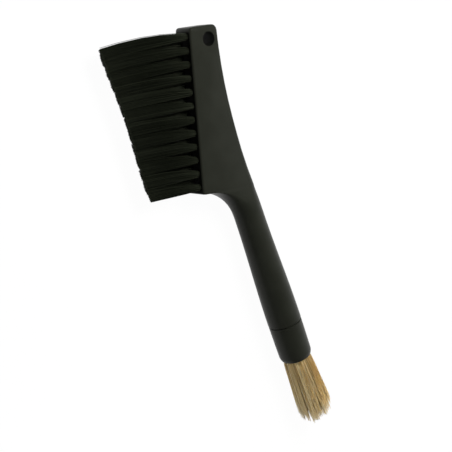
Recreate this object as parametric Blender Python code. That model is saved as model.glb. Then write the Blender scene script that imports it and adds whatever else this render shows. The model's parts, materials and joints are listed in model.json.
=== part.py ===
"""A coffee grinder brush: a moulded handle and head, stapled nylon tufts, and a screw-on hair tip.

The brush lies on its side on a table. In its own frame +X runs along the handle's axis from the
ferrule's mouth to the head, +Y points at the tips of the nylon bristles, and +Z is the upper side.
Lengths are in metres.
"""
import math

import bmesh
import bpy
from mathutils import Matrix, Vector

# Fits
FIT_GAP = 0.0003            # clearance between pieces that touch
OVERRUN = 0.002             # how far a cutter runs past what it cuts
JOIN_DEPTH = 0.0004         # how far a form is sunk into the piece that it is fused to

# Handle, round, with its thickest place at the seam
HANDLE_LENGTH = 0.0675
HANDLE_SWELL_RADIUS = 0.00935
HANDLE_WAIST_RADIUS = 0.0079
SEAM_CHAMFER = 0.00035
DRILL_POINT_SHARE = 0.5     # of the insert hole's radius, the length of the cone at its end

# Neck, the concave finger rest between handle and head
NECK_RADIUS = 0.0245
NECK_SHARPENING = 4         # a power: how late along the arc the round front gets its edges

# Head, a flat slab that leans back from the handle's axis
HEAD_LEAN = math.radians(17.0)
HEAD_END_LEAN = math.radians(14.5)
HEAD_THICKNESS = 0.0126
FACE_LENGTH = 0.0850
FACE_CORNER_HEIGHT = 0.02725
HEAD_END_DEPTH = 0.0180
SPINE_WAIST_HEIGHT = 0.00585
SPINE_WAIST_RUN = 0.0352
FACE_EDGE_RADIUS = 0.0012
FACE_CORNER_ROUNDING = 0.0012  # where the tuft face meets the neck
SPINE_EDGE_RADIUS = 0.0019
HEAD_END_EDGE_RADIUS = 0.0009
HEAD_END_FACE_RADIUS = 0.0019   # of the corner between the end and the tuft face
HEAD_END_SPINE_RADIUS = 0.0031  # of the corner between the end and the back
HEAD_END_ANGLES = (25, 50, 70, 90)  # degrees round the end's edge, one for each rib

# Hanging hole, through the head's thickness
HANG_HOLE_RADIUS = 0.0037
HANG_HOLE_FROM_END = 0.0065
HANG_HOLE_FROM_FACE = 0.0116

# Nylon tufts, in two staggered rows
TUFT_PITCH = 0.00695
TUFT_END_MARGIN = 0.0046    # from the head's end to the first tuft's middle
TUFT_START_MARGIN = 0.0030  # the least from the last tuft's middle to the neck
TUFT_ROW_GAP = 0.0062
TUFT_HOLE_RADIUS = 0.00175
TUFT_HOLE_DEPTH = 0.0064
TRIM_ANGLE = math.radians(15.4)  # between the tuft face and the line of the trimmed tips
TRIM_DEPTH = 0.0497         # from the face's end straight to that line
TIP_EDGE_THICKNESS = 0.0046  # of both rows together, at the tips
BRISTLE_STIFF_LENGTH = 0.111  # one this long would bend aside at its tip by its own length
BRISTLE_RADIUS = 0.00021
BRISTLE_RING_SHARES = ((1, 0.0), (5, 0.55), (8, 1.0))  # bristles in a ring, and its reach
BRISTLE_BEND_SHARE = 0.42   # of a bristle's height, where it stops spreading
BRISTLE_SPREAD_SHARE = 0.72  # of its spread that it has there
TUFT_FILL_SHARE = 0.43      # of the pitch, from a tuft's middle to its edge at the tips
ROOT_MARGIN_SHARE = 1.4     # of a bristle's radius, from the outer roots to the plug's side

# Anchors, the flat wire that holds each folded tuft
ANCHOR_THICKNESS = 0.00045
ANCHOR_HEIGHT = 0.0015
ANCHOR_CORNER = 0.0003
TUFT_FOLD_HEIGHT = 0.0009   # of the bristles folded under the anchor

# Ferrule, a screw-on collar with a threaded spigot
FERRULE_LENGTH = 0.0220
FERRULE_LIP_RADIUS = 0.0084
FERRULE_SHOULDER_RADIUS = 0.0092
FERRULE_SHOULDER_RUN = 0.0028
FERRULE_BORE_RADIUS = 0.0079
FERRULE_BORE_DEPTH = 0.0132
SPIGOT_LENGTH = 0.0112
SPIGOT_RADIUS = 0.0041
SPIGOT_CHAMFER = 0.0006

# Thread between spigot and insert, right-handed
THREAD_LEAD = 0.0032
THREAD_DEPTH = 0.0009
THREAD_ROOT_WIDTH = 0.0013
THREAD_CREST_WIDTH = 0.0007
THREAD_ENGAGEMENT = 0.00055
THREAD_STEPS = 18           # facets in a turn

# Insert, knurled, set in the handle's end
INSERT_RADIUS = 0.0066
INSERT_LENGTH = 0.0108
INSERT_CHAMFER = 0.0005
KNURL_DEPTH = 0.00035
KNURL_TEETH = 20
INSERT_GROOVE_WIDTH = 0.0016

# Sealing ring, round the spigot's neck
RING_WIRE_RADIUS = 0.00075

# Natural hair and the resin that it is set in
HAIR_LENGTH = 0.0400        # past the ferrule's mouth, at the middle
HAIR_EDGE_LENGTH = 0.0347   # the same, at the outside
HAIR_RAGGEDNESS = 0.0030
HAIR_WAVES = 7              # of ragged tips round the bundle
HAIR_WAVE_TURN = 3.0        # radians, from one hair to the next
HAIR_SLICE_DEPTH = 0.0060   # from the mouth to where the hair leaves the resin
HAIR_SLICE_THICKNESS = 0.0022
HAIR_BEND_LENGTH = 0.0120   # past the mouth, to where the hair stops bending out
HAIR_BEND_RADIUS = 0.0085
HAIR_TIP_RADIUS = 0.0097
HAIR_STRANDS = 100
HAIR_STRAND_RADIUS = 0.00046
HAIR_STRAND_TIP_RADIUS = 0.00012
HAIR_ROOT_MARGIN_SHARE = 1.2  # of a hair's radius, from the outer roots to the slice's side

# Facets
ROUND_STEPS = 32
RING_STEPS = 24
RING_WIRE_STEPS = 6
CORNER_STEPS = 6
HOLE_STEPS = 12
CURVE_STEPS = 4
SPINE_SEARCH_STEPS = 12
BRISTLE_SIDES = 3
SHARP_ANGLE = math.radians(35.0)

# Places worked out from the sizes
HANDLE_START = FERRULE_LENGTH + FIT_GAP
NECK_START = HANDLE_START + HANDLE_LENGTH
NECK_ARC = math.acos(1 - (FACE_CORNER_HEIGHT - HANDLE_WAIST_RADIUS) / NECK_RADIUS)
ALONG_FACE = Vector((math.cos(HEAD_LEAN), -math.sin(HEAD_LEAN), 0))
OUT_OF_FACE = Vector((math.sin(HEAD_LEAN), math.cos(HEAD_LEAN), 0))
FACE_START = Vector((NECK_START + NECK_RADIUS * math.sin(NECK_ARC), FACE_CORNER_HEIGHT, 0))
FACE_END = FACE_START + ALONG_FACE * FACE_LENGTH
NEAR_ROW_TUFTS = math.floor((FACE_LENGTH - TUFT_END_MARGIN - TUFT_START_MARGIN) / TUFT_PITCH) + 1
SPINE_WAIST_X = NECK_START + SPINE_WAIST_RUN
SPINE_END = FACE_END - HEAD_END_DEPTH * Vector((math.sin(HEAD_END_LEAN), math.cos(HEAD_END_LEAN), 0))
RING_RADIUS = SPIGOT_RADIUS + FIT_GAP + RING_WIRE_RADIUS
INSERT_START = HANDLE_START + 2 * RING_WIRE_RADIUS + FIT_GAP
HANDLE_BORE_RADIUS = INSERT_RADIUS + FIT_GAP
HANDLE_BORE_END = INSERT_START + INSERT_LENGTH + FIT_GAP
THREAD_START = HANDLE_START + 2 * RING_WIRE_RADIUS + 2 * FIT_GAP + THREAD_ROOT_WIDTH / 2
THREAD_END = FERRULE_LENGTH + SPIGOT_LENGTH - SPIGOT_CHAMFER - THREAD_ROOT_WIDTH / 2

COLOURS = {
    "black_plastic": ((0.030, 0.031, 0.026), 0.48, 0.0),
    "black_nylon": ((0.020, 0.021, 0.017), 0.42, 0.0),
    "anchor_brass": ((0.62, 0.48, 0.22), 0.35, 1.0),
    "insert_brass": ((0.66, 0.50, 0.22), 0.30, 1.0),
    "seal_rubber": ((0.025, 0.025, 0.025), 0.70, 0.0),
    "natural_hair": ((0.42, 0.30, 0.15), 0.55, 0.0),
    "amber_resin": ((0.35, 0.20, 0.07), 0.25, 0.0),
}


def clear_scene():
    for thing in list(bpy.data.objects):
        bpy.data.objects.remove(thing, do_unlink=True)


def make_material(name):
    colour, roughness, metallic = COLOURS[name]
    material = bpy.data.materials.get(name)
    if material is None:
        material = bpy.data.materials.new(name)
        material.use_nodes = True
        shader = material.node_tree.nodes["Principled BSDF"]
        shader.inputs["Base Color"].default_value = (*colour, 1.0)
        shader.inputs["Roughness"].default_value = roughness
        shader.inputs["Metallic"].default_value = metallic
    return material


def make_empty(name, parent=None, location=(0, 0, 0)):
    empty = bpy.data.objects.new(name, None)
    bpy.context.collection.objects.link(empty)
    empty.parent = parent
    empty.location = location
    return empty


def make_mesh(name, bm):
    """Closes a bmesh into a mesh with its faces pointing out and its round sides smooth."""
    bmesh.ops.recalc_face_normals(bm, faces=bm.faces[:])
    mesh = bpy.data.meshes.new(name)
    bm.to_mesh(mesh)
    bm.free()
    mesh.shade_smooth()
    mesh.set_sharp_from_angle(angle=SHARP_ANGLE)
    return mesh


def place(name, mesh, material, parent, location=(0, 0, 0), rotation=None):
    thing = bpy.data.objects.new(name, mesh)
    bpy.context.collection.objects.link(thing)
    if not mesh.materials:
        mesh.materials.append(make_material(material))
    thing.parent = parent
    thing.location = location
    if rotation is not None:
        thing.rotation_euler = rotation.to_euler()
    return thing


def boolean(thing, operation, name, mesh, location=(0, 0, 0)):
    """Joins a hidden shape to a piece, or cuts the piece with it."""
    tool = bpy.data.objects.new(name, mesh)
    bpy.context.collection.objects.link(tool)
    tool.parent = thing
    tool.location = location
    tool.hide_render = True
    tool.display_type = "WIRE"
    modifier = thing.modifiers.new(name, "BOOLEAN")
    modifier.operation = operation
    modifier.solver = "EXACT"
    modifier.object = tool


def ease(share):
    """A smooth step from 0 to 1."""
    share = min(max(share, 0.0), 1.0)
    return (1 - math.cos(math.pi * share)) / 2


def blend(first, last, share):
    return first + (last - first) * share


def bridge(bm, rings):
    """Closes a row of rings of equal count into one solid with flat ends."""
    loops = [[bm.verts.new(point) for point in ring] for ring in rings]
    count = len(loops[0])
    for low, high in zip(loops, loops[1:]):
        for i in range(count):
            j = (i + 1) % count
            bm.faces.new((low[i], low[j], high[j], high[i]))
    bm.faces.new(loops[0][::-1])
    bm.faces.new(loops[-1])


def spin_profile(bm, profile, steps, closed=False):
    """Turns a profile of (x, radius) points about the X axis."""
    verts = [bm.verts.new((x, 0, radius)) for x, radius in profile]
    pairs = list(zip(verts, verts[1:]))
    if closed:
        pairs.append((verts[-1], verts[0]))
    edges = [bm.edges.new(pair) for pair in pairs]
    bmesh.ops.spin(bm, geom=verts + edges, cent=(0, 0, 0), axis=(1, 0, 0), angle=math.tau,
                   steps=steps, use_merge=True)
    bmesh.ops.remove_doubles(bm, verts=bm.verts[:], dist=FIT_GAP / 1000)


def cylinder(bm, steps, radius, start, end):
    """A closed cylinder from one point to another."""
    axis = end - start
    turn = axis.to_track_quat("Z", "Y").to_matrix()
    rings = []
    for centre in (start, end):
        rings.append([centre + turn @ Vector((radius * math.cos(math.tau * i / steps),
                                              radius * math.sin(math.tau * i / steps), 0))
                      for i in range(steps)])
    bridge(bm, rings)


# Handle and head

def handle_radius(x):
    return blend(HANDLE_SWELL_RADIUS, HANDLE_WAIST_RADIUS, ease((x - HANDLE_START) / HANDLE_LENGTH))


def spine_height(x):
    """How far the back of the brush lies from the handle's axis."""
    if x <= NECK_START:
        return handle_radius(x)
    if x <= SPINE_WAIST_X:
        return blend(HANDLE_WAIST_RADIUS, SPINE_WAIST_HEIGHT, ease((x - NECK_START) / SPINE_WAIST_RUN))
    sweep = (x - SPINE_WAIST_X) / (SPINE_END.x - SPINE_WAIST_X)
    return blend(SPINE_WAIST_HEIGHT, -SPINE_END.y, sweep ** 2)


def spine_point(front, lean):
    """The point of the back that lies straight behind a point of the front."""
    x = front.x
    for _ in range(SPINE_SEARCH_STEPS):
        x = front.x - (front.y + spine_height(x)) * math.tan(lean)
    return Vector((x, -spine_height(x), 0))


def rib(front, spine, half_thickness, front_radius, spine_radius):
    """A cross-section: a rectangle from spine to front with rounded corners, or a circle."""
    across = (front - spine).normalized()
    depth = (front - spine).length
    up = Vector((0, 0, half_thickness))
    limit = min(half_thickness, depth / 2)
    points = []
    for corner in range(4):
        at_front = corner in (0, 3)
        radius = min(front_radius if at_front else spine_radius, limit)
        middle = (depth - radius) if at_front else radius
        side = (1 if corner in (0, 1) else -1) * (1 - radius / half_thickness)
        centre = spine + across * middle + up * side
        for i in range(CORNER_STEPS):
            angle = math.pi / 2 * (corner + (i + 0.5) / CORNER_STEPS)
            reach = radius / math.cos(math.pi / 4 / CORNER_STEPS)
            points.append(centre + across * reach * math.cos(angle)
                          + Vector((0, 0, reach * math.sin(angle))))
    return points


def handle_ribs(count=10):
    """Round ribs from the seam to the neck."""
    start_radius = handle_radius(HANDLE_START) - SEAM_CHAMFER
    stations = [(HANDLE_START, start_radius)]
    first = HANDLE_START + SEAM_CHAMFER
    for i in range(count):
        x = blend(first, NECK_START, i / count)
        stations.append((x, handle_radius(x)))
    return [rib(Vector((x, r, 0)), Vector((x, -r, 0)), r, r, r) for x, r in stations]


def neck_ribs(count=12):
    """Ribs that turn from the handle's circle to the head's slab."""
    ribs = []
    last_angle = NECK_ARC - FACE_CORNER_ROUNDING / NECK_RADIUS
    last_run = NECK_RADIUS * math.sin(last_angle)
    for i in range(count):
        angle = last_angle * i / (count - 1)
        run = NECK_RADIUS * math.sin(angle)
        front = Vector((NECK_START + run, HANDLE_WAIST_RADIUS + NECK_RADIUS * (1 - math.cos(angle)), 0))
        flatness = ease(run / last_run)
        half = blend(HANDLE_WAIST_RADIUS, HEAD_THICKNESS / 2, flatness)
        ribs.append(rib(front, spine_point(front, HEAD_LEAN * flatness), half,
                        blend(half, FACE_EDGE_RADIUS, (angle / last_angle) ** NECK_SHARPENING),
                        spine_edge_radius(half, front.x)))
    return ribs


def corner_ribs(count=3):
    """Ribs round the corner between the neck and the tuft face."""
    neck_way = Vector((math.cos(NECK_ARC), math.sin(NECK_ARC), 0))
    before = FACE_START - neck_way * FACE_CORNER_ROUNDING
    after = FACE_START + ALONG_FACE * FACE_CORNER_ROUNDING
    half = HEAD_THICKNESS / 2
    ribs = []
    for i in range(1, count + 1):
        share = i / (count + 1)
        front = blend(blend(before, FACE_START, share), blend(FACE_START, after, share), share)
        ribs.append(rib(front, spine_point(front, HEAD_LEAN), half, FACE_EDGE_RADIUS,
                        spine_edge_radius(half, front.x)))
    return ribs


def spine_edge_radius(half_thickness, x):
    """The back is round at the neck and gets its edges along the head."""
    share = (x - NECK_START) / (SPINE_WAIST_RUN + NECK_RADIUS)
    return blend(half_thickness, SPINE_EDGE_RADIUS, ease(share))


def head_ribs(count=9):
    """Ribs along the tuft face, and the rounded end of the head."""
    ribs = []
    half = HEAD_THICKNESS / 2
    run = FACE_LENGTH - HEAD_END_SPINE_RADIUS
    for i in range(count + 1):
        share = i / count
        front = FACE_START + ALONG_FACE * blend(FACE_CORNER_ROUNDING, run, share)
        lean = blend(HEAD_LEAN, HEAD_END_LEAN, share)
        ribs.append(rib(front, spine_point(front, lean), half, FACE_EDGE_RADIUS,
                        spine_edge_radius(half, front.x)))
    along_spine = (SPINE_END - spine_point(FACE_START + ALONG_FACE * run, HEAD_END_LEAN)).normalized()
    inward = (FACE_END - SPINE_END).normalized()
    for degrees in HEAD_END_ANGLES:
        angle = math.radians(degrees)
        rise = 1 - math.sin(angle)
        inset = 1 - math.cos(angle)
        front = FACE_END - HEAD_END_FACE_RADIUS * (ALONG_FACE * rise + inward * inset)
        spine = SPINE_END - HEAD_END_SPINE_RADIUS * (along_spine * rise - inward * inset)
        ribs.append(rib(front, spine, half - HEAD_END_EDGE_RADIUS * inset,
                        FACE_EDGE_RADIUS - HEAD_END_EDGE_RADIUS * inset,
                        SPINE_EDGE_RADIUS - HEAD_END_EDGE_RADIUS * inset))
    return ribs


def tuft_places():
    """The middle of each tuft hole's mouth, by name, counted from the end of the head."""
    places = {}
    for row, side, count, start in (("near", 1, NEAR_ROW_TUFTS, 0.0),
                                    ("far", -1, NEAR_ROW_TUFTS - 1, TUFT_PITCH / 2)):
        for i in range(count):
            along = FACE_LENGTH - TUFT_END_MARGIN - start - TUFT_PITCH * i
            mouth = FACE_START + ALONG_FACE * along + Vector((0, 0, side * TUFT_ROW_GAP / 2))
            places[f"{row}_{i + 1:02d}"] = (mouth, side)
    return places


def make_handle(brush):
    bm = bmesh.new()
    bridge(bm, handle_ribs() + neck_ribs() + corner_ribs() + head_ribs())
    handle = place("handle_body", make_mesh("handle_body", bm), "black_plastic", brush)

    bm = bmesh.new()
    spin_profile(bm, ((HANDLE_START - OVERRUN, 0), (HANDLE_START - OVERRUN, HANDLE_BORE_RADIUS),
                      (HANDLE_BORE_END, HANDLE_BORE_RADIUS),
                      (HANDLE_BORE_END + HANDLE_BORE_RADIUS * DRILL_POINT_SHARE, 0)), ROUND_STEPS)
    boolean(handle, "DIFFERENCE", "insert_bore", make_mesh("insert_bore", bm))

    bm = bmesh.new()
    for mouth, _ in tuft_places().values():
        cylinder(bm, HOLE_STEPS, TUFT_HOLE_RADIUS, mouth - OUT_OF_FACE * TUFT_HOLE_DEPTH,
                 mouth + OUT_OF_FACE * OVERRUN)
    boolean(handle, "DIFFERENCE", "tuft_holes", make_mesh("tuft_holes", bm))

    bm = bmesh.new()
    middle = (FACE_END - ALONG_FACE * HANG_HOLE_FROM_END - OUT_OF_FACE * HANG_HOLE_FROM_FACE)
    reach = Vector((0, 0, HEAD_THICKNESS / 2 + OVERRUN))
    cylinder(bm, ROUND_STEPS, HANG_HOLE_RADIUS, middle - reach, middle + reach)
    boolean(handle, "DIFFERENCE", "hanging_hole", make_mesh("hanging_hole", bm))


# Tufts and their anchors

def face_frame():
    """Turns a piece whose +Z is its bristles' way and whose +X runs to the head's end."""
    return Matrix((ALONG_FACE, OUT_OF_FACE.cross(ALONG_FACE), OUT_OF_FACE)).transposed()


def strand(bm, path, radii, sides, turn):
    """One bristle: rings of a few sides along a path, closed at both ends."""
    rings = []
    for centre, radius in zip(path, radii):
        rings.append([centre + Vector((radius * math.cos(turn + math.tau * i / sides),
                                       radius * math.sin(turn + math.tau * i / sides), 0))
                      for i in range(sides)])
    bridge(bm, rings)


def tuft_strands(mouth, side):
    """The bristles of one tuft, in the tuft's frame, cut to the line of the trimmed tips."""
    bm = bmesh.new()
    plug_radius = TUFT_HOLE_RADIUS - FIT_GAP
    ring_reach = plug_radius - ROOT_MARGIN_SHARE * BRISTLE_RADIUS
    tip_reach = TUFT_PITCH * TUFT_FILL_SHARE - BRISTLE_RADIUS
    row_depth = (TIP_EDGE_THICKNESS - FIT_GAP) / 4 - BRISTLE_RADIUS
    # At the tips both rows draw in to the middle plane
    inward = side * (TUFT_ROW_GAP / 2 - (TIP_EDGE_THICKNESS + FIT_GAP) / 4)
    trim_depth = TRIM_DEPTH - (FACE_END - mouth).dot(ALONG_FACE) * math.sin(TRIM_ANGLE)
    nominal = trim_depth / math.cos(TRIM_ANGLE)
    bend = nominal * (nominal / BRISTLE_STIFF_LENGTH) ** 3
    for count, ring_share in BRISTLE_RING_SHARES:
        for i in range(count):
            angle = math.tau * (i + ring_share / 2) / count
            across = ring_share * math.cos(angle)
            through = ring_share * math.sin(angle)
            tip_x = across * tip_reach - bend
            height = nominal + tip_x * math.tan(TRIM_ANGLE)
            path = [Vector((across * ring_reach, through * ring_reach, -FIT_GAP - JOIN_DEPTH))]
            for share, spread in ((BRISTLE_BEND_SHARE, BRISTLE_SPREAD_SHARE), (1, 1)):
                path.append(Vector((blend(across * ring_reach, across * tip_reach, spread)
                                    - bend * share ** 2,
                                    blend(through * ring_reach, inward + through * row_depth, spread),
                                    height * share)))
            strand(bm, path, (BRISTLE_RADIUS,) * len(path), BRISTLE_SIDES, angle)
    return bm


def make_tufts(brush):
    anchor_bm = bmesh.new()
    reach = TUFT_HOLE_RADIUS - FIT_GAP
    fold_top = -TUFT_HOLE_DEPTH + FIT_GAP + TUFT_FOLD_HEIGHT + FIT_GAP
    outline = ((-reach, ANCHOR_CORNER), (-reach + ANCHOR_CORNER, 0), (reach - ANCHOR_CORNER, 0),
               (reach, ANCHOR_CORNER), (reach, ANCHOR_HEIGHT), (-reach, ANCHOR_HEIGHT))
    bridge(anchor_bm, [[(x, side * ANCHOR_THICKNESS / 2, fold_top + z) for x, z in outline]
                       for side in (-1, 1)])
    anchor_mesh = make_mesh("anchor", anchor_bm)

    window_bm = bmesh.new()
    wide = reach + OVERRUN
    deep = ANCHOR_THICKNESS / 2 + FIT_GAP
    window = ((-deep, -FIT_GAP), (deep, -FIT_GAP), (deep, ANCHOR_HEIGHT + FIT_GAP),
              (-deep, ANCHOR_HEIGHT + FIT_GAP))
    bridge(window_bm, [[(x, y, fold_top + z) for y, z in window] for x in (-wide, wide)])
    window_mesh = make_mesh("anchor_window", window_bm)

    rotation = face_frame()
    for name, (mouth, side) in tuft_places().items():
        bm = bmesh.new()
        cylinder(bm, HOLE_STEPS, reach, Vector((0, 0, -TUFT_HOLE_DEPTH + FIT_GAP)),
                 Vector((0, 0, -FIT_GAP)))
        tuft = place("tuft_" + name, make_mesh("tuft_" + name, bm), "black_nylon", brush,
                     mouth, rotation)
        boolean(tuft, "DIFFERENCE", "anchor_window_" + name, window_mesh)
        strands = make_mesh("strands_" + name, tuft_strands(mouth, side))
        boolean(tuft, "UNION", "strands_" + name, strands)
        place("anchor_" + name, anchor_mesh, "anchor_brass", brush, mouth, rotation)


# Screw-on tip

def thread_solid(start, end, grow):
    """A ridge that winds round the X axis, made larger all round by grow."""
    turns = (end - start) / THREAD_LEAD
    steps = max(3, round(turns * THREAD_STEPS))
    root = SPIGOT_RADIUS - JOIN_DEPTH
    crest = SPIGOT_RADIUS + THREAD_DEPTH + grow
    slope = (THREAD_ROOT_WIDTH - THREAD_CREST_WIDTH) / 2 / THREAD_DEPTH
    half_crest = THREAD_CREST_WIDTH / 2 + grow
    half_root = half_crest + slope * (crest - root)
    section = ((-half_root, root), (-half_crest, crest), (half_crest, crest), (half_root, root))
    rings = []
    for i in range(steps + 1):
        x = blend(start, end, i / steps)
        angle = math.tau * (x - THREAD_START) / THREAD_LEAD
        rings.append([Vector((x + dx, radius * math.cos(angle), radius * math.sin(angle)))
                      for dx, radius in section])
    bm = bmesh.new()
    bridge(bm, rings)
    return bm


def make_insert(brush):
    """A knurled sleeve with the inner thread."""
    end = INSERT_START + INSERT_LENGTH
    middle = (INSERT_START + end) / 2
    valley = INSERT_RADIUS - KNURL_DEPTH
    half_groove = INSERT_GROOVE_WIDTH / 2
    stations = ((INSERT_START, valley - KNURL_DEPTH, valley - KNURL_DEPTH),
                (INSERT_START + INSERT_CHAMFER, INSERT_RADIUS, valley),
                (middle - half_groove, INSERT_RADIUS, valley),
                (middle - half_groove + KNURL_DEPTH, valley - KNURL_DEPTH, valley - KNURL_DEPTH),
                (middle + half_groove - KNURL_DEPTH, valley - KNURL_DEPTH, valley - KNURL_DEPTH),
                (middle + half_groove, INSERT_RADIUS, valley),
                (end - INSERT_CHAMFER, INSERT_RADIUS, valley),
                (end, valley - KNURL_DEPTH, valley - KNURL_DEPTH))
    rings = []
    for x, ridge, hollow in stations:
        ring = []
        for i in range(2 * KNURL_TEETH):
            radius = ridge if i % 2 == 0 else hollow
            angle = math.pi * i / KNURL_TEETH
            ring.append(Vector((x, radius * math.cos(angle), radius * math.sin(angle))))
        rings.append(ring)
    bm = bmesh.new()
    bridge(bm, rings)
    insert = place("threaded_insert", make_mesh("threaded_insert", bm), "insert_brass", brush)

    bm = bmesh.new()
    bore = SPIGOT_RADIUS + THREAD_DEPTH - THREAD_ENGAGEMENT
    cylinder(bm, ROUND_STEPS, bore, Vector((INSERT_START - OVERRUN, 0, 0)), Vector((end + OVERRUN, 0, 0)))
    boolean(insert, "DIFFERENCE", "insert_hole", make_mesh("insert_hole", bm))
    bm = thread_solid(INSERT_START - THREAD_LEAD, end + THREAD_LEAD, FIT_GAP)
    boolean(insert, "DIFFERENCE", "inner_thread", make_mesh("inner_thread", bm))


def ferrule_profile():
    """From the bottom of the hair socket, round the collar, to the end of the spigot."""
    spigot_end = FERRULE_LENGTH + SPIGOT_LENGTH
    profile = [(FERRULE_BORE_DEPTH, 0), (FERRULE_BORE_DEPTH, FERRULE_BORE_RADIUS),
               (0, FERRULE_BORE_RADIUS), (0, FERRULE_LIP_RADIUS)]
    curves = ((0, FERRULE_SHOULDER_RUN, FERRULE_LIP_RADIUS, FERRULE_SHOULDER_RADIUS),
              (FERRULE_SHOULDER_RUN, FERRULE_LENGTH - SEAM_CHAMFER,
               FERRULE_SHOULDER_RADIUS, HANDLE_SWELL_RADIUS))
    for start, end, start_radius, end_radius in curves:
        for i in range(1, CURVE_STEPS + 1):
            share = i / CURVE_STEPS
            profile.append((blend(start, end, share),
                            blend(start_radius, end_radius, math.sin(math.pi / 2 * share))))
    profile += [(FERRULE_LENGTH, HANDLE_SWELL_RADIUS - SEAM_CHAMFER), (FERRULE_LENGTH, SPIGOT_RADIUS),
                (spigot_end - SPIGOT_CHAMFER, SPIGOT_RADIUS),
                (spigot_end, SPIGOT_RADIUS - SPIGOT_CHAMFER), (spigot_end, 0)]
    return profile


def make_tip(tip_axis):
    """The ferrule with its thread, the resin plug and the hair, all turning on the handle's axis."""
    back = (-FERRULE_LENGTH, 0, 0)
    bm = bmesh.new()
    spin_profile(bm, ferrule_profile(), ROUND_STEPS)
    ferrule = place("tip_ferrule", make_mesh("tip_ferrule", bm), "black_plastic", tip_axis, back)
    boolean(ferrule, "UNION", "outer_thread", make_mesh("outer_thread",
                                                        thread_solid(THREAD_START, THREAD_END, 0)))

    plug_start = HAIR_SLICE_DEPTH + HAIR_SLICE_THICKNESS + FIT_GAP
    plug_radius = FERRULE_BORE_RADIUS - FIT_GAP
    bm = bmesh.new()
    cylinder(bm, ROUND_STEPS, plug_radius, Vector((plug_start, 0, 0)),
             Vector((FERRULE_BORE_DEPTH - FIT_GAP, 0, 0)))
    place("resin_plug", make_mesh("resin_plug", bm), "amber_resin", tip_axis, back)

    bm = bmesh.new()
    cylinder(bm, ROUND_STEPS, plug_radius, Vector((HAIR_SLICE_DEPTH, 0, 0)),
             Vector((HAIR_SLICE_DEPTH + HAIR_SLICE_THICKNESS, 0, 0)))
    hair = place("hair_bundle", make_mesh("hair_bundle", bm), "natural_hair", tip_axis, back)
    boolean(hair, "UNION", "hair_strands", make_mesh("hair_strands", hair_strands(plug_radius)))


def hair_strands(plug_radius):
    """Hairs on a sunflower pattern that spread from the ferrule's mouth."""
    bm = bmesh.new()
    golden = math.pi * (3 - math.sqrt(5))
    root_reach = plug_radius - HAIR_ROOT_MARGIN_SHARE * HAIR_STRAND_RADIUS
    bend_reach = HAIR_BEND_RADIUS - HAIR_STRAND_RADIUS
    tip_reach = HAIR_TIP_RADIUS - HAIR_STRAND_TIP_RADIUS
    for i in range(HAIR_STRANDS):
        reach = math.sqrt((i + 0.5) / HAIR_STRANDS)
        angle = golden * i
        ragged = math.sin(HAIR_WAVES * angle) * math.sin(HAIR_WAVE_TURN * i)
        length = blend(HAIR_LENGTH, HAIR_EDGE_LENGTH, reach ** 2) + HAIR_RAGGEDNESS * (ragged - 1) / 2
        stations = ((HAIR_SLICE_DEPTH + JOIN_DEPTH, root_reach, HAIR_STRAND_RADIUS),
                    (0, root_reach, HAIR_STRAND_RADIUS),
                    (-HAIR_BEND_LENGTH, bend_reach, HAIR_STRAND_RADIUS),
                    (-length, tip_reach, HAIR_STRAND_TIP_RADIUS))
        rings = []
        for x, far, radius in stations:
            centre = Vector((x, reach * far * math.cos(angle), reach * far * math.sin(angle)))
            rings.append([centre + Vector((0, radius * math.cos(angle + math.tau * k / BRISTLE_SIDES),
                                           radius * math.sin(angle + math.tau * k / BRISTLE_SIDES)))
                          for k in range(BRISTLE_SIDES)])
        bridge(bm, rings)
    return bm


def make_ring(ring_axis):
    """The sealing ring that lies between the ferrule's back face and the insert."""
    bm = bmesh.new()
    profile = []
    for i in range(RING_WIRE_STEPS):
        angle = math.tau * i / RING_WIRE_STEPS
        profile.append((FIT_GAP + RING_WIRE_RADIUS * (1 - math.cos(angle)),
                        RING_RADIUS + RING_WIRE_RADIUS * math.sin(angle)))
    spin_profile(bm, profile, RING_STEPS, closed=True)
    place("sealing_ring", make_mesh("sealing_ring", bm), "seal_rubber", ring_axis)


def rest_on_table(brush):
    """Moves the whole brush so that the box round it stands on the origin."""
    bpy.context.view_layer.update()
    graph = bpy.context.evaluated_depsgraph_get()
    low = Vector((math.inf,) * 3)
    high = Vector((-math.inf,) * 3)
    for thing in bpy.context.scene.objects:
        if thing.type != "MESH" or thing.hide_render:
            continue
        solid = thing.evaluated_get(graph)
        for vertex in solid.data.vertices:
            point = solid.matrix_world @ vertex.co
            low = Vector(map(min, low, point))
            high = Vector(map(max, high, point))
    brush.location = (-(low.x + high.x) / 2, -(low.y + high.y) / 2, -low.z)


def main():
    clear_scene()
    brush = make_empty("brush")
    ring_axis = make_empty("ring_axis", brush, (FERRULE_LENGTH, 0, 0))
    tip_axis = make_empty("tip_axis", ring_axis)
    make_handle(brush)
    make_tufts(brush)
    make_insert(brush)
    make_ring(ring_axis)
    make_tip(tip_axis)
    rest_on_table(brush)


main()
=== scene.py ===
"""The looks of a coffee grinder brush: moulded plastic, nylon bristles, natural hair, light and camera.

Lengths are in metres. The brush's own frame has its origin on the handle's axis at the ferrule's
mouth, with +X towards the head, +Y towards the nylon tips and +Z up. MOUTH carries it to the world.
"""
import json
import math
import random

import bpy
from mathutils import Matrix, Vector

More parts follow.
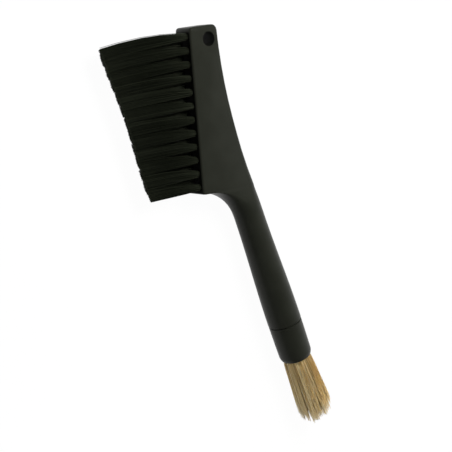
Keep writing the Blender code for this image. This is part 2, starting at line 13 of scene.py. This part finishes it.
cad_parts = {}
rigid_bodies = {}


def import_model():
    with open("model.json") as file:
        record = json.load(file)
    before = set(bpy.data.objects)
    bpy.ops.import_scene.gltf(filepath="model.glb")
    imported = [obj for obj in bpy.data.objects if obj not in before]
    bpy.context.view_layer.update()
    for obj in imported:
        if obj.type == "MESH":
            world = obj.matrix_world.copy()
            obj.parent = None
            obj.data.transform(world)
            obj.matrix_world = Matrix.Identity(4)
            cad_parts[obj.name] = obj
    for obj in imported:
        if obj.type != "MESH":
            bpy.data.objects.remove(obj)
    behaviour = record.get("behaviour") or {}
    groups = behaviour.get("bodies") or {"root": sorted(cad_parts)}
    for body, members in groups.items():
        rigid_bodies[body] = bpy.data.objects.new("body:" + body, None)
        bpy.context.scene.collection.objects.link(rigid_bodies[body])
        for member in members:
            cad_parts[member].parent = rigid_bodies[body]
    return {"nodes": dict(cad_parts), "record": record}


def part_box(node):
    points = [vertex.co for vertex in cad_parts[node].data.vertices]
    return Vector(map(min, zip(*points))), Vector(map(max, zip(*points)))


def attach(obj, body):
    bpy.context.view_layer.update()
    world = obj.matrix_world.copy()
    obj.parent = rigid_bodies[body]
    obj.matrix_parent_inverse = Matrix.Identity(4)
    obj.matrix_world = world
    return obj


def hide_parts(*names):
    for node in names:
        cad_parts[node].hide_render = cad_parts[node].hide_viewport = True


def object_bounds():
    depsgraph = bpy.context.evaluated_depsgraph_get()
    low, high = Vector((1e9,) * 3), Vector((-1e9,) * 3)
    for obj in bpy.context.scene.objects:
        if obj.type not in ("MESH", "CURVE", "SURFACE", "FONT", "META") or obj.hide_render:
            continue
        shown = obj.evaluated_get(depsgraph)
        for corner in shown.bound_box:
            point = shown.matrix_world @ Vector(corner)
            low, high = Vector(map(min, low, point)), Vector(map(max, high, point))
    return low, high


for thing in list(bpy.data.objects):
    bpy.data.objects.remove(thing, do_unlink=True)

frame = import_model()
cad_low, cad_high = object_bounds()
ferrule_low, ferrule_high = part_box("tip_ferrule")
middle = (ferrule_low + ferrule_high) / 2
MOUTH = Vector((ferrule_low.x, middle.y, middle.z))

GOLDEN_ANGLE = math.pi * (3 - math.sqrt(5))
WELD_DISTANCE = 1e-6
SHARP_ANGLE = math.radians(35)  # between two facets, from which their edge stays sharp

# Head
HEAD_LEAN = math.radians(17.0)
ALONG_FACE = Vector((math.cos(HEAD_LEAN), -math.sin(HEAD_LEAN), 0))
OUT_OF_FACE = Vector((math.sin(HEAD_LEAN), math.cos(HEAD_LEAN), 0))
HOLE_RADIUS = 0.0037

# Patches of the plastic, each with its fade: where it starts and where it is full
BORE_PAINTED_SHADE = (0.0110, 0.0118, 0.0088)  # painted shade inside the hanging hole
BORE_ROUGHNESS = 0.24                    # how much rougher the plastic is there
BORE_FADE = (HOLE_RADIUS + 0.0001, HOLE_RADIUS)  # from the hole's middle
FACE_PAINTED_SHADE = (0.0040, 0.0043, 0.0032)  # painted shade round the tufts' holes, where the tufts shade the face
FACE_ROUGHNESS = 0.60
FACE_FADE = (-0.00020, -0.00008)         # out from the holes' mouths
END_PAINTED_SHEEN = (0.0300, 0.0315, 0.0245)   # painted reflection on the head's end wall, paler in place of its grazing gloss
END_FADE = (-0.0022, -0.0010)            # along from the head's end
UPRIGHT_FADE = (0.45, 0.10)              # the normal's upward share, so that only the end wall gets the painted reflection

# Nylon tufts
TUFT_FILAMENTS = 84           # each is folded under the anchor, so it has two ends
TUFT_ROOT_REACH = 0.00160     # from its middle to its edge, in the hole
TUFT_TIP_REACH = 0.00315      # the same at the tips, along the face
TUFT_TIP_DEPTH = 0.00060      # the same at the tips, across the rows
TUFT_TIP_INSET = 0.00260      # how far a row draws in to the middle plane at its tips
TUFT_GATHER = 0.009           # of a tuft's distance from the first, how far it leans towards it
TUFT_STRAY = (0.00025, 0.00015)  # how far its tips stray along the face and across the rows
TRIM_ANGLE = math.radians(15.4)  # between the tuft face and the line of the trimmed tips
TRIM_DEPTH = 0.0483           # from the first tuft's root straight to that line
TRIM_WAVE = 0.0007            # the tips' line is worn a little lower in the middle
TRIM_WAVE_LENGTH = 0.072
TRIM_RAGGEDNESS = 0.00030
BRISTLE_RADIUS = 0.00014
BRISTLE_STIFF_LENGTH = 0.111  # one this long would bend aside at its tip by its own length
BRISTLE_BEND_RANGE = (0.94, 1.06)
BRISTLE_STRAY = 0.00018
ANCHOR_DEPTH = 0.00415        # from the hole's mouth to the anchor's middle
ANCHOR_HALF_HEIGHT = 0.00075
ANCHOR_CLEARANCE = 0.00035    # from the anchor's middle plane to the nearest bristle
BRISTLE_SHARES = (0.0, 0.12, 0.3, 0.52, 0.78, 0.99, 1.0)  # of its length, its points
BRISTLE_TONE = (0.06, 0.20)   # the middle and the spread
BRISTLE_TONE_LIMIT = 0.5
TIP_PAINTED_LIGHT = 0.15               # how much paler a bristle is towards its tip, painted light against the shade where the tips bend away
CUT_END_TONE = 1.3            # of the face at a bristle's tip
NEAR_ROW_ROOT_LIGHT = 0.50          # how much paler a row's bristles are at their roots, painted light that lifts the shade there
FAR_ROW_ROOT_LIGHT = 1.10
NYLON_TONE_RANGE = 1.5        # the tone at the pale end of the nylon's colours
FOLD_DEPTH_SHARE = 0.5        # of a bristle's way round the anchor, how deep it dips under it

# Natural hair, on a disc of radius 1 that is stretched to the bundle's
HAIR_COUNT = 1300
HAIR_CLUMPS = 260
HAIR_LOCKS = 44               # groups of clumps that end in a point
GROUP_STRAY = 0.3             # radians round the bundle, of a clump's or a lock's middle
CLUMP_TONE_SPREAD = 0.28
CLUMP_PULL = (0.3, 0.9)       # of the way to its clump's middle, how far a hair's tip is drawn
LOCK_PULL = (0.15, 0.5)       # the same towards its lock's middle
LOCK_LENGTHS = (-0.25, 0.5)   # of the raggedness, how much longer a lock is
LENGTH_SPREAD = 0.28          # of the raggedness, how much shorter a single hair is
HAIR_POINT = 0.0080           # how much shorter a hair is for each unit away from its lock's middle
HAIR_WAVE = 0.02              # how far a hair bows between its ends
HAIR_SHARES = (0.15, 0.32, 0.52, 0.76, 1.0)  # of its length past the mouth, its points
HAIR_TONE = (0.20, 0.25)      # the middle and the spread
HAIR_ROOT_DEPTH = 0.0078      # in the ferrule, behind its mouth
HAIR_ROOT_RADIUS = 0.00735
HAIR_MOUTH_RADIUS = 0.00765
HAIR_BEND_LENGTH = 0.0120     # past the mouth, to where the hair stops bending out
HAIR_BEND_RADIUS = 0.0086
HAIR_TIP_RADIUS = 0.0109
HAIR_LENGTH = 0.0420          # past the mouth, at the middle
HAIR_EDGE_LENGTH = 0.0346     # the same, at the outside
HAIR_SLANT = 0.0020           # how much longer the side of the nylon tips is
HAIR_RAGGEDNESS = 0.0048
HAIR_RADIUS = 0.00015
HAIR_TAPER = (0.80, 0.35)     # of its radius, at its last point but one and at its tip
HAIR_TIP_WEAR = 0.42          # how much paler a hair is at its tip
HAIR_SWAY = 0.0014            # sideways towards the brush's back, at the tips

# Camera, from the photograph's perspective, in the brush's own frame
PHOTO_SIZE = 452
FOCAL_LENGTH = 1200           # in the photograph's pixels
SENSOR_WIDTH = 36.0
CAMERA_PLACE = Vector((0.3056, 0.3483, 0.4931))
CAMERA_AIM = Vector((0.0899, 0.0162, 0.0))
CAMERA_UP = Vector((0.8887, -0.4506, -0.0853))

# Studio
SWEEP_WAY = Vector((-0.44, -0.90, 0.0))  # from the brush to the white sweep behind it
SWEEP_STOPS = ((0.0, (0.05, 0.05, 0.05)), (0.65, (0.30, 0.30, 0.30)), (1.0, (1.0, 1.0, 1.0)))
FLOOR_REACH = 3.0
BOUNCING_FLOOR = (0.62, 0.0)   # its colour, and how much it glows
MIRRORED_FLOOR = (0.10, 0.85)  # the same in the object's gloss
SEEN_FLOOR = (0.03, 0.972)     # the same to the camera
LAMPS = (  # name, place, what it points at, width, power
    ("softbox", (0.28, -0.24, 0.46), (0.05, 0.0, 0.0), 0.30, 4.4),
    ("hair_light", (-0.12, 0.16, 0.12), (-0.10, 0.0, 0.0), 0.10, 0.10),
    ("rim_light", (-0.16, -0.18, 0.07), (-0.10, -0.02, 0.0), 0.10, 0.10),
)


def blend(first, last, share):
    return first + (last - first) * share


def ease_out(share, power=2.0):
    """From 0 to 1, quick at first."""
    return 1 - (1 - share) ** power


def sunflower(i, count, turn=0.0):
    """Place number i of a count that fill a disc of radius 1 evenly."""
    reach = math.sqrt((i + 0.5) / count)
    angle = GOLDEN_ANGLE * i + turn
    return reach * math.cos(angle), reach * math.sin(angle)


# Shader building blocks

def new_material(name):
    material = bpy.data.materials.new(name)
    material.use_nodes = True
    return material, material.node_tree, material.node_tree.nodes["Principled BSDF"]


def add(tree, kind, values=None, **settings):
    """Adds a node, sets its properties and the default values of its inputs."""
    node = tree.nodes.new(kind)
    for key, value in settings.items():
        setattr(node, key, value)
    for key, value in (values or {}).items():
        node.inputs[key].default_value = value
    return node


def ramp(tree, factor, stops):
    """A colour ramp of (position, colour) stops."""
    node = add(tree, "ShaderNodeValToRGB")
    elements = node.color_ramp.elements
    while len(elements) < len(stops):
        elements.new(0.5)
    for element, (position, colour) in zip(elements, stops):
        element.position = position
        element.color = (*colour, 1)
    tree.links.new(factor, node.inputs["Fac"])
    return node.outputs["Color"]


def noise(tree, scale, detail=3.0, stretch=(1, 1, 1)):
    """Noise in the object's own space."""
    place = add(tree, "ShaderNodeTexCoord")
    mapping = add(tree, "ShaderNodeMapping", {"Scale": stretch})
    texture = add(tree, "ShaderNodeTexNoise", {"Scale": scale, "Detail": detail})
    tree.links.new(place.outputs["Object"], mapping.inputs["Vector"])
    tree.links.new(mapping.outputs["Vector"], texture.inputs["Vector"])
    return texture.outputs["Fac"]


def bump(tree, shader, height, strength, distance):
    node = add(tree, "ShaderNodeBump", {"Strength": strength, "Distance": distance})
    tree.links.new(height, node.inputs["Height"])
    tree.links.new(node.outputs["Normal"], shader.inputs["Normal"])


def fade(tree, value, ends, origin=0.0):
    """0 up to the first end and 1 from the last on, measured from the origin."""
    node = add(tree, "ShaderNodeMapRange", {"From Min": origin + ends[0], "From Max": origin + ends[1]})
    tree.links.new(value, node.inputs["Value"])
    return node.outputs["Result"]


def dot(tree, vector, way):
    """How far a vector reaches that way."""
    node = add(tree, "ShaderNodeVectorMath", {1: way}, operation="DOT_PRODUCT")
    tree.links.new(vector, node.inputs[0])
    return node.outputs["Value"]


def grey(level):
    return (level, level, level)


def hole_middle():
    """The hanging hole's middle, seen from above."""
    opening = next(o for o in frame["record"]["physics"]["openings"] if o["name"] == "hanging_hole")
    low, high = (Vector(corner) for corner in opening["box_m"])
    return ((low.x + high.x) / 2, (low.y + high.y) / 2, 0)


def head_end():
    """How far the handle reaches along the tuft face."""
    return max(vertex.co.dot(ALONG_FACE) for vertex in frame["nodes"]["handle_body"].data.vertices)


# Materials

def moulded_plastic():
    """Dark olive plastic with a spark-eroded grain, rougher with painted shade at its holes and a painted
    reflection on the head's end.
    """
    material, tree, shader = new_material("moulded_plastic")
    place = add(tree, "ShaderNodeTexCoord").outputs["Object"]
    flat = add(tree, "ShaderNodeVectorMath", {1: (1, 1, 0)}, operation="MULTIPLY")
    tree.links.new(place, flat.inputs[0])
    reach = add(tree, "ShaderNodeVectorMath", {1: hole_middle()}, operation="DISTANCE")
    tree.links.new(flat.outputs[0], reach.inputs[0])
    in_bore = fade(tree, reach.outputs["Value"], BORE_FADE)
    face = tuft_mouth("near_01").dot(OUT_OF_FACE)
    on_face = fade(tree, dot(tree, place, OUT_OF_FACE), FACE_FADE, face)
    normal = add(tree, "ShaderNodeNewGeometry").outputs["Normal"]
    at_end = add(tree, "ShaderNodeMath", operation="MULTIPLY")
    tree.links.new(fade(tree, dot(tree, place, ALONG_FACE), END_FADE, head_end()), at_end.inputs[0])
    tree.links.new(fade(tree, dot(tree, normal, (0, 0, 1)), UPRIGHT_FADE), at_end.inputs[1])
    colour = ramp(tree, noise(tree, 90.0, 4.0),
                  ((0.35, (0.0165, 0.0176, 0.0130)), (0.65, (0.0195, 0.0208, 0.0156))))
    # Painted reflection on the head's end, painted shade in the hanging hole and round the tufts' holes
    for share, patch in ((at_end.outputs[0], END_PAINTED_SHEEN), (in_bore, BORE_PAINTED_SHADE),
                         (on_face, FACE_PAINTED_SHADE)):
        mix = add(tree, "ShaderNodeMix", {"B": (*patch, 1)}, data_type="RGBA")
        tree.links.new(share, mix.inputs["Factor"])
        tree.links.new(colour, mix.inputs["A"])
        colour = mix.outputs["Result"]
    tree.links.new(colour, shader.inputs["Base Color"])
    rough = ramp(tree, noise(tree, 240.0, 3.0), ((0.3, grey(0.32)), (0.7, grey(0.40))))
    for share, extra in ((in_bore, BORE_ROUGHNESS), (on_face, FACE_ROUGHNESS)):
        rougher = add(tree, "ShaderNodeMath", {1: extra}, operation="MULTIPLY_ADD")
        tree.links.new(share, rougher.inputs[0])
        tree.links.new(rough, rougher.inputs[2])
        rough = rougher.outputs[0]
    tree.links.new(rough, shader.inputs["Roughness"])
    shader.inputs["Specular IOR Level"].default_value = 0.13
    bump(tree, shader, noise(tree, 3200.0, 2.0), 0.35, 0.00004)
    return material


def drawn_nylon():
    """Black nylon filament, a little lighter or darker from one bristle to the next, with painted light at
    the tips and roots.
    """
    material, tree, shader = new_material("drawn_nylon")
    tone = add(tree, "ShaderNodeAttribute", attribute_name="tone")
    share = add(tree, "ShaderNodeMath", {1: 1 / NYLON_TONE_RANGE}, operation="MULTIPLY")
    tree.links.new(tone.outputs["Fac"], share.inputs[0])
    colour = ramp(tree, share.outputs[0],
                  ((0.0, (0.0040, 0.0050, 0.0028)), (0.33, (0.0155, 0.0180, 0.0112)),
                   (0.67, (0.0375, 0.0425, 0.0285)), (1.0, (0.0600, 0.0670, 0.0480))))
    tree.links.new(colour, shader.inputs["Base Color"])
    shader.inputs["Roughness"].default_value = 0.60
    shader.inputs["Specular IOR Level"].default_value = 0.12
    return material


def natural_hair():
    """Fair hair with darker and greyer strands, and streaks along each one."""
    material, tree, shader = new_material("natural_hair")
    tone = add(tree, "ShaderNodeAttribute", attribute_name="tone")
    streak = noise(tree, 420.0, 2.0, (0.12, 1, 1))
    mix = add(tree, "ShaderNodeMath", {1: 0.35}, operation="MULTIPLY_ADD")
    tree.links.new(streak, mix.inputs[0])
    tree.links.new(tone.outputs["Fac"], mix.inputs[2])
    colour = ramp(tree, mix.outputs[0],
                  ((0.10, (0.430, 0.282, 0.121)), (0.40, (0.715, 0.510, 0.226)),
                   (0.70, (0.850, 0.665, 0.338)), (1.0, (0.950, 0.810, 0.480))))
    tree.links.new(colour, shader.inputs["Base Color"])
    shader.inputs["Roughness"].default_value = 0.50
    shader.inputs["Specular IOR Level"].default_value = 0.10
    shader.inputs["Subsurface Weight"].default_value = 0.5
    shader.inputs["Subsurface Radius"].default_value = (1.0, 0.97, 0.90)
    shader.inputs["Subsurface Scale"].default_value = 0.0006
    return material


def turned_brass(name, colour):
    """Brass with fine turning or drawing marks."""
    material, tree, shader = new_material(name)
    dark = tuple(0.8 * channel for channel in colour)
    tree.links.new(ramp(tree, noise(tree, 700.0, 3.0), ((0.3, dark), (0.7, colour))),
                   shader.inputs["Base Color"])
    rough = ramp(tree, noise(tree, 1500.0, 2.0, (1, 0.1, 0.1)), ((0.3, grey(0.24)), (0.7, grey(0.38))))
    tree.links.new(rough, shader.inputs["Roughness"])
    shader.inputs["Metallic"].default_value = 1.0
    bump(tree, shader, noise(tree, 5000.0, 2.0, (1, 0.1, 0.1)), 0.2, 0.00002)
    return material


def seal_rubber():
    material, tree, shader = new_material("seal_rubber")
    colour = ramp(tree, noise(tree, 900.0, 3.0), ((0.3, grey(0.018)), (0.7, grey(0.028))))
    tree.links.new(colour, shader.inputs["Base Color"])
    shader.inputs["Roughness"].default_value = 0.62
    bump(tree, shader, noise(tree, 4000.0, 2.0), 0.3, 0.00003)
    return material


def amber_resin():
    material, tree, shader = new_material("amber_resin")
    colour = ramp(tree, noise(tree, 300.0, 3.0), ((0.3, (0.26, 0.14, 0.045)), (0.7, (0.40, 0.23, 0.08))))
    tree.links.new(colour, shader.inputs["Base Color"])
    shader.inputs["Roughness"].default_value = 0.2
    bump(tree, shader, noise(tree, 900.0, 2.0), 0.2, 0.00008)
    return material


def finish_group():
    """Joins the CAD mesh's loose facets and shades its round sides smooth, as a modifier."""
    group = bpy.data.node_groups.new("smooth_facets", "GeometryNodeTree")
    group.interface.new_socket("Geometry", in_out="INPUT", socket_type="NodeSocketGeometry")
    group.interface.new_socket("Geometry", in_out="OUTPUT", socket_type="NodeSocketGeometry")
    start = add(group, "NodeGroupInput")
    plain = add(group, "GeometryNodeRemoveAttribute", {"Name": "custom_normal"})
    merge = add(group, "GeometryNodeMergeByDistance", {"Distance": WELD_DISTANCE})
    round_faces = add(group, "GeometryNodeSetShadeSmooth", {"Shade Smooth": True})
    edge_angle = add(group, "GeometryNodeInputMeshEdgeAngle")
    is_sharp = add(group, "FunctionNodeCompare", {"B": SHARP_ANGLE}, operation="GREATER_THAN")
    sharp_edges = add(group, "GeometryNodeSetShadeSmooth", {"Shade Smooth": False}, domain="EDGE")
    end = add(group, "NodeGroupOutput")
    chain = (start, plain, merge, round_faces, sharp_edges, end)
    for before, after in zip(chain, chain[1:]):
        group.links.new(before.outputs[0], after.inputs[0])
    group.links.new(edge_angle.outputs["Unsigned Angle"], is_sharp.inputs["A"])
    group.links.new(is_sharp.outputs[0], sharp_edges.inputs["Selection"])
    return group


def finish_cad_nodes(slots):
    """Gives each carried-over CAD node its material and smooth shading."""
    group = finish_group()
    for subpart in frame["record"]["subparts"]:
        node = frame["nodes"][subpart["node"]]
        material = slots[subpart["material_slot"]]
        node.data.materials.clear()
        node.data.materials.append(material)
        modifier = node.modifiers.new("smooth_facets", "NODES")
        modifier.node_group = group


# Strands

def strand_mesh(name, strands, smooth, sides=3):
    """One mesh of thin closed tubes. A strand is its points, their radii and their tones."""
    verts = []
    faces = []
    tones = []
    for points, radii, shades in strands:
        first = len(verts)
        side_way = Vector((0.31, 0.17, 0.93))
        for i, (point, radius) in enumerate(zip(points, radii)):
            ahead = (points[min(i + 1, len(points) - 1)] - points[max(i - 1, 0)]).normalized()
            side_way = (side_way - ahead * side_way.dot(ahead)).normalized()
            other_way = ahead.cross(side_way)
            for k in range(sides):
                angle = math.tau * k / sides
                verts.append(point + (side_way * math.cos(angle) + other_way * math.sin(angle)) * radius)
        for i in range(len(points) - 1):
            low = first + i * sides
            for k in range(sides):
                j = (k + 1) % sides
                faces.append((low + k, low + j, low + sides + j, low + sides + k))
        faces.append(tuple(range(first + sides - 1, first - 1, -1)))
        faces.append(tuple(range(len(verts) - sides, len(verts))))
        tones.extend(shade for shade in shades for _ in range(sides))
    mesh = bpy.data.meshes.new(name)
    mesh.from_pydata(verts, [], faces)
    attribute = mesh.attributes.new("tone", "FLOAT", "POINT")
    attribute.data.foreach_set("value", tones)
    if smooth:
        mesh.shade_smooth()
    return mesh


def put(name, mesh, material, body, slot, *nodes):
    """Places a piece that stands for CAD nodes on one body."""
    piece = bpy.data.objects.new(name, mesh)
    bpy.context.scene.collection.objects.link(piece)
    mesh.materials.append(material)
    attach(piece, body)
    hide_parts(*nodes)


# Nylon tufts

def tuft_mouth(name):
    """The middle of a tuft hole's mouth, from the anchor at its bottom."""
    low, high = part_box("anchor_" + name)
    return (low + high) / 2 + OUT_OF_FACE * ANCHOR_DEPTH


def bristle_end(mouth, first_mouth, side, root, draw, dice):
    """Points from the hole's mouth to the trimmed tip, in the tuft's frame."""
    across = root.x / TUFT_ROOT_REACH
    through = root.y / TUFT_ROOT_REACH
    along = (first_mouth - mouth).dot(ALONG_FACE)
    nominal = ((TRIM_DEPTH - along * math.sin(TRIM_ANGLE)) / math.cos(TRIM_ANGLE)
               + TRIM_WAVE * math.cos(math.tau * along / TRIM_WAVE_LENGTH)
               + dice.uniform(-TRIM_RAGGEDNESS, TRIM_RAGGEDNESS))
    bend = nominal * (nominal / BRISTLE_STIFF_LENGTH) ** 3 * dice.uniform(*BRISTLE_BEND_RANGE)
    tip_x = across * TUFT_TIP_REACH + TUFT_GATHER * along + draw.x + dice.gauss(0, BRISTLE_STRAY)
    tip_y = side * TUFT_TIP_INSET + through * TUFT_TIP_DEPTH + draw.y + dice.gauss(0, BRISTLE_STRAY)
    height = nominal + (tip_x - bend) * math.tan(TRIM_ANGLE)
    return [Vector((blend(root.x, tip_x, ease_out(share, 3)) - bend * share ** 2,
                    blend(root.y, tip_y, ease_out(share)), height * share))
            for share in BRISTLE_SHARES]


def bristle_fold(root, partner):
    """Points down one side of the anchor, under it and up the other side."""
    bottom = -ANCHOR_DEPTH - ANCHOR_HALF_HEIGHT
    low = bottom - BRISTLE_RADIUS - abs(root.y) * FOLD_DEPTH_SHARE
    return [Vector((root.x, root.y, bottom)), Vector((blend(root.x, partner.x, 0.5), 0, low)),
            Vector((partner.x, partner.y, bottom))]


def tuft_mesh(name, mouth, first_mouth, side, root_light, dice):
    """A tuft of folded filaments. Its frame has X along the face, Y downwards and Z out of it."""
    turn = Matrix((ALONG_FACE, OUT_OF_FACE.cross(ALONG_FACE), OUT_OF_FACE)).transposed()
    draw = Vector([dice.uniform(-stray, stray) for stray in TUFT_STRAY])
    strands = []
    for i in range(TUFT_FILAMENTS):
        x, y = (TUFT_ROOT_REACH * way for way in sunflower(i, TUFT_FILAMENTS))
        y = max(abs(y), ANCHOR_CLEARANCE)
        root = Vector((x, y))
        partner = Vector((x + dice.gauss(0, BRISTLE_RADIUS), -y))
        first = bristle_end(mouth, first_mouth, side, root, draw, dice)
        last = bristle_end(mouth, first_mouth, side, partner, draw, dice)
        points = first[::-1] + bristle_fold(root, partner) + last
        tone = min(max(dice.gauss(*BRISTLE_TONE), 0), BRISTLE_TONE_LIMIT)
        # Painted light: paler towards the tips and at the roots, where the bristles lie in shade
        shades = [tone + TIP_PAINTED_LIGHT * share ** 3 + root_light * (1 - share) ** 4
                  for share in BRISTLE_SHARES[:-1]] + [CUT_END_TONE]
        strands.append(([mouth + turn @ point for point in points], [BRISTLE_RADIUS] * len(points),
                        shades[::-1] + [shades[0]] * 3 + shades))
    return strand_mesh(name, strands, True)


def make_tufts(material):
    first_mouth = tuft_mouth("near_01")
    for row, side, root_light in (("near", 1, NEAR_ROW_ROOT_LIGHT), ("far", -1, FAR_ROW_ROOT_LIGHT)):
        for node in sorted(frame["nodes"]):
            if node.startswith("tuft_" + row):
                name = node.removeprefix("tuft_")
                dice = random.Random(name)
                mesh = tuft_mesh("bristles_" + name, tuft_mouth(name), first_mouth, side, root_light, dice)
                put("bristles_" + name, mesh, material, "brush_body", "black_nylon", node)


# Natural hair

def hair_groups(count, dice, draw):
    """The middles of groups of hair over the bundle, each with a number that it draws."""
    return [(Vector(sunflower(i, count, dice.uniform(-GROUP_STRAY, GROUP_STRAY))), draw())
            for i in range(count)]


def nearest(groups, place):
    return min(groups, key=lambda group: (group[0] - place).length)


def hair_mesh():
    """Hairs on a sunflower pattern that gather into clumps, and these into pointed locks."""
    dice = random.Random(7)
    clumps = hair_groups(HAIR_CLUMPS, dice, lambda: dice.gauss(0, CLUMP_TONE_SPREAD))
    locks = hair_groups(HAIR_LOCKS, dice, lambda: dice.uniform(*LOCK_LENGTHS))
    strands = []
    for i in range(HAIR_COUNT):
        here = Vector(sunflower(i, HAIR_COUNT))
        centre, clump_tone = nearest(clumps, here)
        lock, lock_length = nearest(locks, centre)
        tip = here.lerp(centre, dice.uniform(*CLUMP_PULL)).lerp(lock, dice.uniform(*LOCK_PULL))
        length = (blend(HAIR_LENGTH, HAIR_EDGE_LENGTH, here.length_squared) + HAIR_SLANT * here.x
                  + HAIR_RAGGEDNESS * (lock_length - abs(dice.gauss(0, LENGTH_SPREAD)))
                  - HAIR_POINT * (here - lock).length)
        wave = Vector((dice.gauss(0, HAIR_WAVE), dice.gauss(0, HAIR_WAVE)))
        tone = min(max(dice.gauss(*HAIR_TONE) + clump_tone, 0), 1)
        shades = [tone, tone]
        points = [MOUTH + Vector((HAIR_ROOT_DEPTH, here.x * HAIR_ROOT_RADIUS, here.y * HAIR_ROOT_RADIUS)),
                  MOUTH + Vector((0, here.x * HAIR_MOUTH_RADIUS, here.y * HAIR_MOUTH_RADIUS))]
        for share in HAIR_SHARES:
            x = length * share
            spread = blend(HAIR_MOUTH_RADIUS, HAIR_BEND_RADIUS, ease_out(min(x / HAIR_BEND_LENGTH, 1)))
            if x > HAIR_BEND_LENGTH:
                spread = blend(HAIR_BEND_RADIUS, HAIR_TIP_RADIUS,
                               (x - HAIR_BEND_LENGTH) / (HAIR_LENGTH - HAIR_BEND_LENGTH))
            drawn = here.lerp(tip, share ** 3) + wave * math.sin(math.pi * share)
            shades.append(tone + HAIR_TIP_WEAR * share ** 2)
            z = max(MOUTH.z + drawn.y * spread, cad_low.z + HAIR_RADIUS)  # the table lifts the lowest
            points.append(Vector((MOUTH.x - x, MOUTH.y + drawn.x * spread - HAIR_SWAY * share, z)))
        radii = [HAIR_RADIUS] * (len(points) - 2) + [HAIR_RADIUS * taper for taper in HAIR_TAPER]
        strands.append((points, radii, shades))
    return strand_mesh("hair", strands, False)


# Floor, light and camera

def sheet(tree, lit, glow):
    """White paper that keeps shadows by its lit share and shows white by its glow."""
    diffuse = add(tree, "ShaderNodeBsdfDiffuse", {"Color": (*grey(lit), 1)})
    emission = add(tree, "ShaderNodeEmission", {"Color": (*grey(1), 1), "Strength": glow})
    both = add(tree, "ShaderNodeAddShader")
    tree.links.new(diffuse.outputs[0], both.inputs[0])
    tree.links.new(emission.outputs[0], both.inputs[1])
    return both.outputs[0]


def choose(tree, share, first, last):
    """One shader, or the other where the share is 1."""
    node = add(tree, "ShaderNodeMixShader")
    tree.links.new(share, node.inputs["Fac"])
    tree.links.new(first, node.inputs[1])
    tree.links.new(last, node.inputs[2])
    return node.outputs[0]


def make_floor():
    """A white sheet that shows white and keeps a faint shadow."""
    mesh = bpy.data.meshes.new("floor")
    corners = [(x * FLOOR_REACH, y * FLOOR_REACH, 0) for x, y in ((-1, -1), (1, -1), (1, 1), (-1, 1))]
    mesh.from_pydata(corners, [], [(0, 1, 2, 3)])
    floor = bpy.data.objects.new("floor", mesh)
    bpy.context.scene.collection.objects.link(floor)
    material, tree, shader = new_material("white_sheet")
    tree.nodes.remove(shader)
    path = add(tree, "ShaderNodeLightPath")
    shown = sheet(tree, *BOUNCING_FLOOR)
    mirrored = sheet(tree, *MIRRORED_FLOOR)
    seen = sheet(tree, *SEEN_FLOOR)
    for ray, other in (("Is Glossy Ray", mirrored), ("Is Transmission Ray", seen), ("Is Camera Ray", seen)):
        shown = choose(tree, path.outputs[ray], shown, other)
    tree.links.new(shown, tree.nodes["Material Output"].inputs["Surface"])
    mesh.materials.append(material)


def make_world():
    """White to the camera. The object sees a white sweep behind it and a dim room before it."""
    world = bpy.data.worlds.new("studio")
    bpy.context.scene.world = world
    world.use_nodes = True
    tree = world.node_tree
    way = add(tree, "ShaderNodeTexCoord")
    along = add(tree, "ShaderNodeVectorMath", {1: SWEEP_WAY}, operation="DOT_PRODUCT")
    tree.links.new(way.outputs["Generated"], along.inputs[0])
    studio = tree.nodes["Background"]
    tree.links.new(ramp(tree, along.outputs["Value"], SWEEP_STOPS), studio.inputs["Color"])
    white = add(tree, "ShaderNodeBackground", {"Color": (*grey(1), 1)})
    path = add(tree, "ShaderNodeLightPath")
    shown = studio.outputs[0]
    for ray in ("Is Transmission Ray", "Is Camera Ray"):
        shown = choose(tree, path.outputs[ray], shown, white.outputs[0])
    tree.links.new(shown, tree.nodes["World Output"].inputs["Surface"])


def make_lamp(name, place, aim, width, power):
    """A soft lamp that the object doesn't mirror, so only the sweep and the floor show in its gloss."""
    lamp = bpy.data.lights.new(name, "AREA")
    lamp.size = width
    lamp.energy = power
    thing = bpy.data.objects.new(name, lamp)
    bpy.context.scene.collection.objects.link(thing)
    thing.location = place
    thing.rotation_euler = (Vector(aim) - Vector(place)).to_track_quat("-Z", "Y").to_euler()
    thing.visible_glossy = False


def make_camera():
    camera = bpy.data.cameras.new("camera")
    camera.sensor_width = SENSOR_WIDTH
    camera.lens = SENSOR_WIDTH * FOCAL_LENGTH / PHOTO_SIZE
    camera.clip_start = 0.01
    thing = bpy.data.objects.new("camera", camera)
    bpy.context.scene.collection.objects.link(thing)
    backward = (CAMERA_PLACE - CAMERA_AIM).normalized()
    right = CAMERA_UP.cross(backward).normalized()
    turn = Matrix((right, backward.cross(right), backward)).transposed()
    thing.matrix_world = Matrix.Translation(MOUTH + CAMERA_PLACE) @ turn.to_4x4()
    bpy.context.scene.camera = thing


plastic = moulded_plastic()
nylon = drawn_nylon()
hair = natural_hair()
finish_cad_nodes({
    "black_plastic": plastic,
    "black_nylon": nylon,
    "anchor_brass": turned_brass("drawn_brass", (0.62, 0.48, 0.22)),
    "insert_brass": turned_brass("knurled_brass", (0.66, 0.50, 0.22)),
    "seal_rubber": seal_rubber(),
    "natural_hair": hair,
    "amber_resin": amber_resin(),
})
make_tufts(nylon)
put("hair", hair_mesh(), hair, "tip", "natural_hair", "hair_bundle")
make_floor()
make_world()
for lamp in LAMPS:
    make_lamp(*lamp)
make_camera()
bpy.context.scene.view_settings.view_transform = "Standard"
